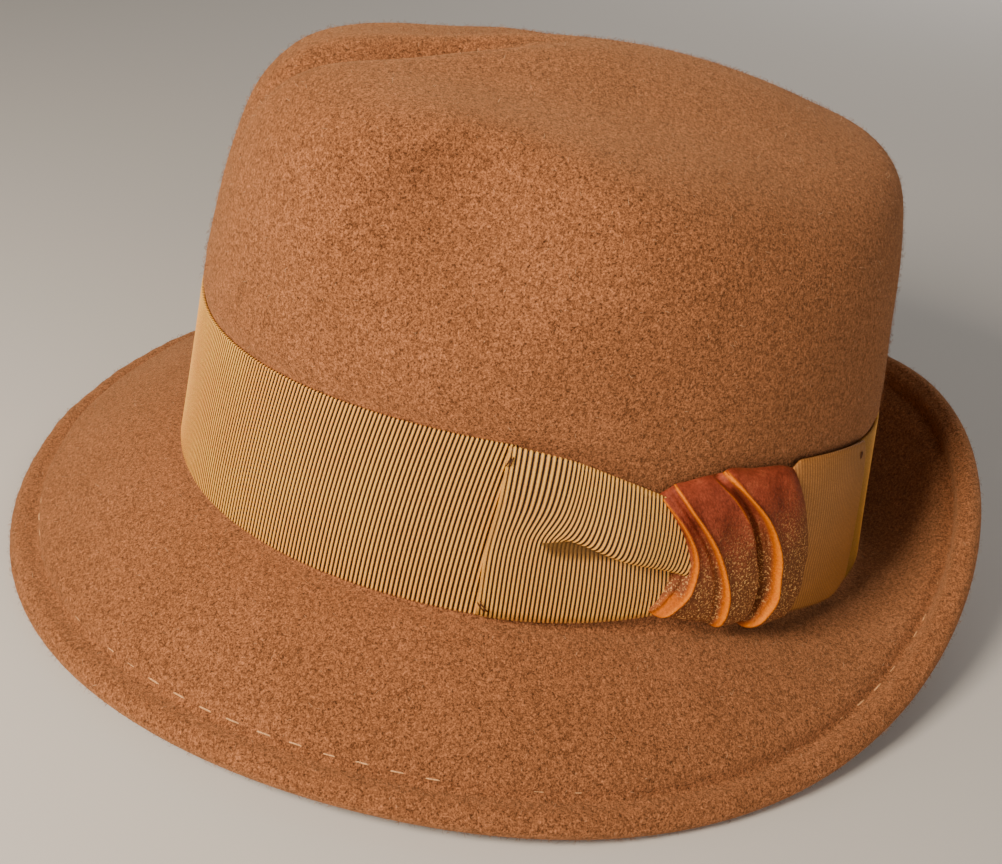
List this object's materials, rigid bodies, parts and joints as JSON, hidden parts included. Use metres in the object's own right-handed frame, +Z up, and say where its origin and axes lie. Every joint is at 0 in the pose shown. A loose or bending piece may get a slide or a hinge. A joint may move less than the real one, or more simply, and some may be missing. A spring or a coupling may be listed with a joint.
{
  "type": "fedora hat",
  "caption": "Soft felt fedora with dented pinched crown, downturned front brim, upturned back, ribbed ribbon band with velvet-knotted side bow, sweatband and lining.",
  "frame": {"origin": "middle of the hat's bounding box at the surface it rests on", "axes": "front of the hat faces -Y, the bow is on the wearer's left at +X, crown up along +Z"},
  "size_m": [0.2554, 0.2804, 0.1453],
  "materials": {
    "wool_felt": "soft brushed felt",
    "grosgrain": "ribbed ribbon with a low sheen",
    "velvet": "pleated velvet with bright fold edges",
    "thread": "spun thread",
    "sweat_leather": "smooth satin",
    "reed": "natural matte",
    "tape": "plain woven tape",
    "satin": "satin lining",
    "tab": "plain woven tab"
  },
  "bodies": {
    "root": {"felt_body": "wool_felt", "welt_stitching": "thread", "hat_band": "grosgrain", "bow_front_wing": "grosgrain", "bow_rear_wing": "grosgrain", "velvet_knot": "velvet", "bow_tacks": "thread", "sweatband": "sweat_leather", "reed_tape": "tape", "sweatband_reed": "reed", "sweatband_stitching": "thread", "sweatband_join_tape": "tape", "sweatband_bow": "tape", "size_tab": "tab", "lining_side": "satin", "lining_piping": "satin", "lining_tip": "satin"}
  },
  "joints": []
}
